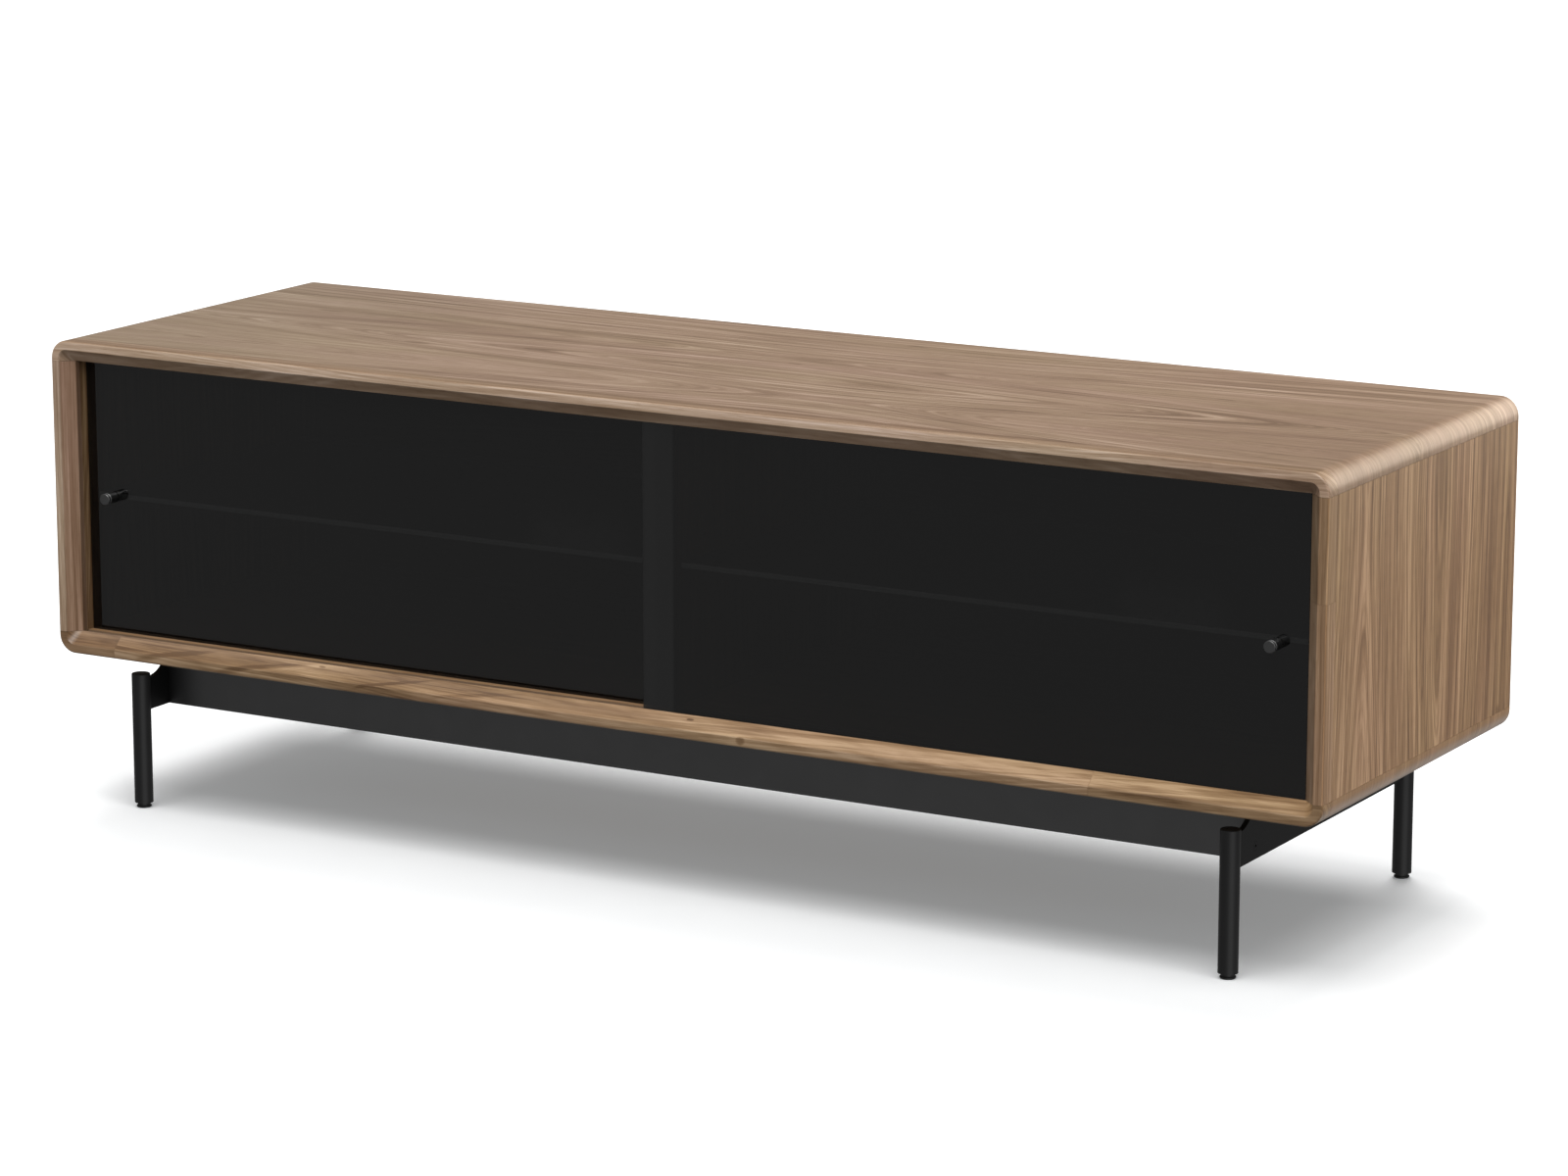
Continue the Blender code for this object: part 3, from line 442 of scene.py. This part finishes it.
def coated(name, color, roughness, grain, metallic=0.0, specular=0.3):
    """Powder coat, moulded plastic or plated metal. grain is how many specks of texture fit in a metre."""
    made, g = material(name, Metallic=metallic, Specular_IOR_Level=specular)
    x, y, z = g.place()
    fine = g.noise(x * grain, y * grain, z * grain)
    broad = g.noise(x * BROAD_GRAIN, y * BROAD_GRAIN, z * BROAD_GRAIN, detail=1.0)
    shade = fine * 0.5 + broad * 0.4 + 1.0
    g.feed(g.shader.inputs["Base Color"], g.vector(*(shade * level for level in color)))
    g.feed(g.shader.inputs["Roughness"], g.math("MULTIPLY_ADD", fine, 0.15, roughness))
    g.feed(g.shader.inputs["Normal"], g.bump(fine, 0.10, TEXTURE_DEPTH))
    return made


KNOB_EDGES = (0.0009, 0.0050)  # behind the face of a knob: the edge of its cap and that of its body, where glints are painted
KNOB_GRAIN = 3500.0
BODY_LEVEL, PAINTED_FACE_LIGHT, PAINTED_GLINT_LEVEL = 0.008, 0.012, 0.14


def turned_knob(node):
    """Black knob with painted light: its face is painted a little lighter for the light it catches, and the
    edges of its cap and its body carry painted glints.
    """
    made, g = material(node, Roughness=0.30, Specular_IOR_Level=0.45)
    x, y, z = g.place()
    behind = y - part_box(node)[0].y
    face = g.smooth_step(behind, 0.0006, 0.0002)
    cap, body = (g.smooth_step(g.math("ABSOLUTE", behind - place), 0.0007, 0.0003) for place in KNOB_EDGES)
    fine = g.noise(x * KNOB_GRAIN, y * KNOB_GRAIN, z * KNOB_GRAIN)
    # Painted highlight: the face a little lighter and bright rings at the edges of the cap and body, over
    # the body's own black.
    level = (fine * 0.5 + 1.0) * (face * PAINTED_FACE_LIGHT + (cap + body) * PAINTED_GLINT_LEVEL + BODY_LEVEL)
    g.feed(g.shader.inputs["Base Color"], g.vector(level, level, level))
    return made


left_glass = smoked_glass("smoked_glass_left")
right_glass = smoked_glass("smoked_glass_right", overlap_end=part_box("left_door_glass")[1].x)
bay_glass = shelf_glass()
steel = coated("black_steel", (0.0115, 0.0115, 0.0118), roughness=0.48, grain=2600.0, specular=0.16)
leg_steel = coated("black_steel_leg", (0.014, 0.014, 0.0144), roughness=0.45, grain=2600.0, specular=0.25)
left_knob, right_knob = turned_knob("left_door_knob"), turned_knob("right_door_knob")
plastic = coated("black_plastic", (0.015, 0.015, 0.015), roughness=0.50, grain=1800.0)
brown = coated("brown_plastic", (0.125, 0.080, 0.050), roughness=0.50, grain=1800.0)
nylon = coated("nylon", (0.62, 0.61, 0.57), roughness=0.50, grain=1800.0)
zinc = coated("zinc_steel", (0.62, 0.62, 0.61), roughness=0.36, grain=2400.0, metallic=1.0)

# A node takes the look of the first line whose words are in its name, and what is left is steel.
LOOKS = (
    ("top_panel", veneer_top),
    ("bottom_panel", veneer_under),
    ("side_panel", veneer_side),
    ("center_divider", veneer_upright),
    ("back_panel", back_veneer),
    ("top_front_edge", top_rail),
    ("bottom_front_edge", bottom_rail),
    ("left_front_edge", left_rail),
    ("right_front_edge", right_rail),
    ("shelf_pin", zinc),
    ("shelf_", bay_glass),
    ("channel", brown),
    ("left_door_glass", left_glass),
    ("right_door_glass", right_glass),
    ("knob_washer", nylon),
    ("knob_screw", zinc),
    ("left_door_knob", left_knob),
    ("right_door_knob", right_knob),
    ("glide", nylon),
    ("leg_plug", plastic),
    ("levelling_foot", plastic),
    ("leg_", leg_steel),
    ("", steel),
)
for name, node in nodes.items():
    node.data.materials[0] = next(look for part, look in LOOKS if part in name)

# ---------------------------------------------------------------- smoothing

MERGE_DISTANCE = 1e-6
SMOOTH_ANGLE = math.radians(32)  # a larger angle between two faces stays a crisp edge


def smoothing():
    """Geometry nodes that join the facets of a CAD solid and shade its curved faces smooth.

    Normals that came with the solid would keep its facets flat, so they go first.
    """
    tree = bpy.data.node_groups.new("smooth_curves", "GeometryNodeTree")
    tree.interface.new_socket("Geometry", in_out="INPUT", socket_type="NodeSocketGeometry")
    tree.interface.new_socket("Geometry", in_out="OUTPUT", socket_type="NodeSocketGeometry")

    def node(kind, **inputs):
        made = tree.nodes.new(kind)
        for name, value in inputs.items():
            made.inputs[name].default_value = value
        return made

    group_in = node("NodeGroupInput")
    plain = node("GeometryNodeRemoveAttribute", Name="custom_normal")
    merge = node("GeometryNodeMergeByDistance", Distance=MERGE_DISTANCE)
    faces = node("GeometryNodeSetShadeSmooth")
    edges = node("GeometryNodeSetShadeSmooth")
    edges.domain = "EDGE"
    angle = node("GeometryNodeInputMeshEdgeAngle")
    shallow = node("FunctionNodeCompare")
    shallow.operation = "LESS_EQUAL"
    shallow.inputs["B"].default_value = SMOOTH_ANGLE
    group_out = node("NodeGroupOutput")
    link = tree.links.new
    link(group_in.outputs[0], plain.inputs["Geometry"])
    link(plain.outputs[0], merge.inputs["Geometry"])
    link(merge.outputs[0], faces.inputs["Geometry"])
    link(faces.outputs[0], edges.inputs["Geometry"])
    link(angle.outputs["Unsigned Angle"], shallow.inputs["A"])
    link(shallow.outputs[0], edges.inputs["Shade Smooth"])
    link(edges.outputs[0], group_out.inputs[0])
    return tree


smooth_curves = smoothing()
for node in nodes.values():
    node.modifiers.new("smooth_curves", "NODES").node_group = smooth_curves

# ---------------------------------------------------------------- studio

FLOOR_SIZE = 80.0
FLOOR_LEVEL = 0.90
SHADOW_GLOW = 0.19
SURROUNDINGS, BACKDROP = 0.30, 1.0  # how bright
CAMERA_PLACE = (2.9374, -5.0327, 1.5742)
CAMERA_DOWN = 12.37  # degrees below level
CAMERA_TURN = 30.024  # degrees to the left of straight on
CAMERA_LENS = 119.8  # mm
CAMERA_SENSOR = 36.0  # mm


def studio_floor():
    """Matt white floor that bounces no light on the cabinet and glows a little in its shadow."""
    bpy.ops.mesh.primitive_plane_add(size=FLOOR_SIZE)
    floor = bpy.context.object
    floor.name = "studio_floor"
    made, g = material("studio_floor", Roughness=0.9, Specular_IOR_Level=0.0)
    x, y, _ = g.place()
    mottle = g.noise(x * 9.0, y * 9.0, detail=5.0, roughness=0.6) * 0.05
    grit = g.noise(x * 170.0, y * 170.0, roughness=0.7) * 0.14
    level = mottle + grit + FLOOR_LEVEL
    g.feed(g.shader.inputs["Base Color"], g.vector(level, level, level))
    g.shader.inputs["Emission Color"].default_value = (0.92, 0.97, 1.0, 1.0)
    g.shader.inputs["Emission Strength"].default_value = SHADOW_GLOW
    floor.data.materials.append(made)
    floor.visible_diffuse = False
    floor.visible_glossy = False
    return floor


def collected(name, things):
    """A collection of the things that a lamp lights, or of those that stand in its way."""
    group = bpy.data.collections.new(name)
    for thing in things:
        group.objects.link(thing)
    return group


def lamp(name, light, lit, blockers=None):
    """Put a light in the studio. It lights lit only. Only blockers cast shadows, or everything if None."""
    made = bpy.data.objects.new(name, light)
    bpy.context.scene.collection.objects.link(made)
    made.light_linking.receiver_collection = lit
    made.light_linking.blocker_collection = blockers
    return made


def sun(name, lit, strength, spread, azimuth, elevation, blockers):
    """A wide soft light from one direction: azimuth turns from the front towards the right.

    What the floor throws back comes from below it, so there only the cabinet may cast shadows.
    """
    light = bpy.data.lights.new(name, "SUN")
    light.energy = strength
    light.angle = math.radians(spread)
    turn, rise = math.radians(azimuth), math.radians(elevation)
    towards = Vector((math.sin(turn) * math.cos(rise), -math.cos(turn) * math.cos(rise), math.sin(rise)))
    lamp(name, light, lit, blockers).rotation_euler = towards.to_track_quat("Z", "Y").to_euler()


def panel_light(name, lit, power, color, size, location, target):
    """A rectangular light that faces a target."""
    light = bpy.data.lights.new(name, "AREA")
    light.color = color
    light.shape = "RECTANGLE"
    light.size, light.size_y = size
    light.energy = power
    made = lamp(name, light, lit)
    made.location = location
    made.rotation_euler = (Vector(target) - Vector(location)).to_track_quat("-Z", "Y").to_euler()


def studio_world():
    """Dim soft surroundings that light the cabinet, in front of a white backdrop."""
    world = bpy.data.worlds.new("studio_world")
    bpy.context.scene.world = world
    g = Graph(world)
    surroundings = g.tree.nodes["Background"]
    surroundings.inputs["Color"].default_value = (1.0, 1.0, 1.0, 1.0)
    surroundings.inputs["Strength"].default_value = SURROUNDINGS
    backdrop = g.node("ShaderNodeBackground")
    backdrop.inputs["Color"].default_value = (1.0, 1.0, 1.0, 1.0)
    backdrop.inputs["Strength"].default_value = BACKDROP
    seen = g.node("ShaderNodeMixShader")
    link = g.tree.links.new
    link(g.node("ShaderNodeLightPath").outputs["Is Camera Ray"], seen.inputs[0])
    link(surroundings.outputs[0], seen.inputs[1])
    link(backdrop.outputs[0], seen.inputs[2])
    link(seen.outputs[0], g.tree.nodes["World Output"].inputs["Surface"])


def studio_camera():
    """The viewpoint: from the front right and a little above, looking down."""
    data = bpy.data.cameras.new("camera")
    data.lens = CAMERA_LENS
    data.sensor_width = CAMERA_SENSOR
    camera = bpy.data.objects.new("camera", data)
    bpy.context.scene.collection.objects.link(camera)
    camera.location = CAMERA_PLACE
    camera.rotation_euler = (math.radians(90.0 - CAMERA_DOWN), 0.0, math.radians(CAMERA_TURN))
    bpy.context.scene.camera = camera


def users(*looks):
    """The nodes that have one of these looks."""
    return [node for node in nodes.values() if node.data.materials[0] in looks]


floor_only = collected("lit_floor", [studio_floor()])
beams_only = collected("lit_beams", users(steel))
legs_only = collected("lit_legs", users(leg_steel, plastic))
base = users(steel, leg_steel, plastic)
cabinet_only = collected("lit_cabinet", [node for node in nodes.values() if node not in base])
whole_cabinet = collected("whole_cabinet", nodes.values())

studio_world()
for name, lit, strength, spread, azimuth, elevation, blockers in (
    ("front_floor_light", floor_only, 1.4, 38.0, 6.0, 76.5, None),
    ("rear_floor_light", floor_only, 1.8, 32.0, 206.0, 61.0, None),
    ("right_floor_light", floor_only, 0.75, 25.0, 86.0, 66.0, None),
    ("overhead_light", cabinet_only, 1.4, 32.0, 5.0, 79.0, None),
    ("front_light", cabinet_only, 3.55, 36.0, 12.0, 45.0, None),
    ("right_light", cabinet_only, 2.25, 26.0, 104.0, 29.0, None),
    ("beam_bounce", beams_only, 2.0, 50.0, -12.0, -25.0, whole_cabinet),
    ("leg_bounce", legs_only, 1.05, 60.0, 50.0, -10.0, whole_cabinet),
    ("rim_bounce", cabinet_only, 0.15, 26.0, 172.0, -31.0, whole_cabinet),
):
    sun(name, lit, strength, spread, azimuth, elevation, blockers)
panel_light("rear_light", cabinet_only, power=17.8, color=(1.0, 0.90, 0.76), size=(1.4, 0.9),
            location=(1.3, 1.3, 0.85), target=(0.7, 0.2, 0.5))
studio_camera()
bpy.context.scene.view_settings.view_transform = "Standard"
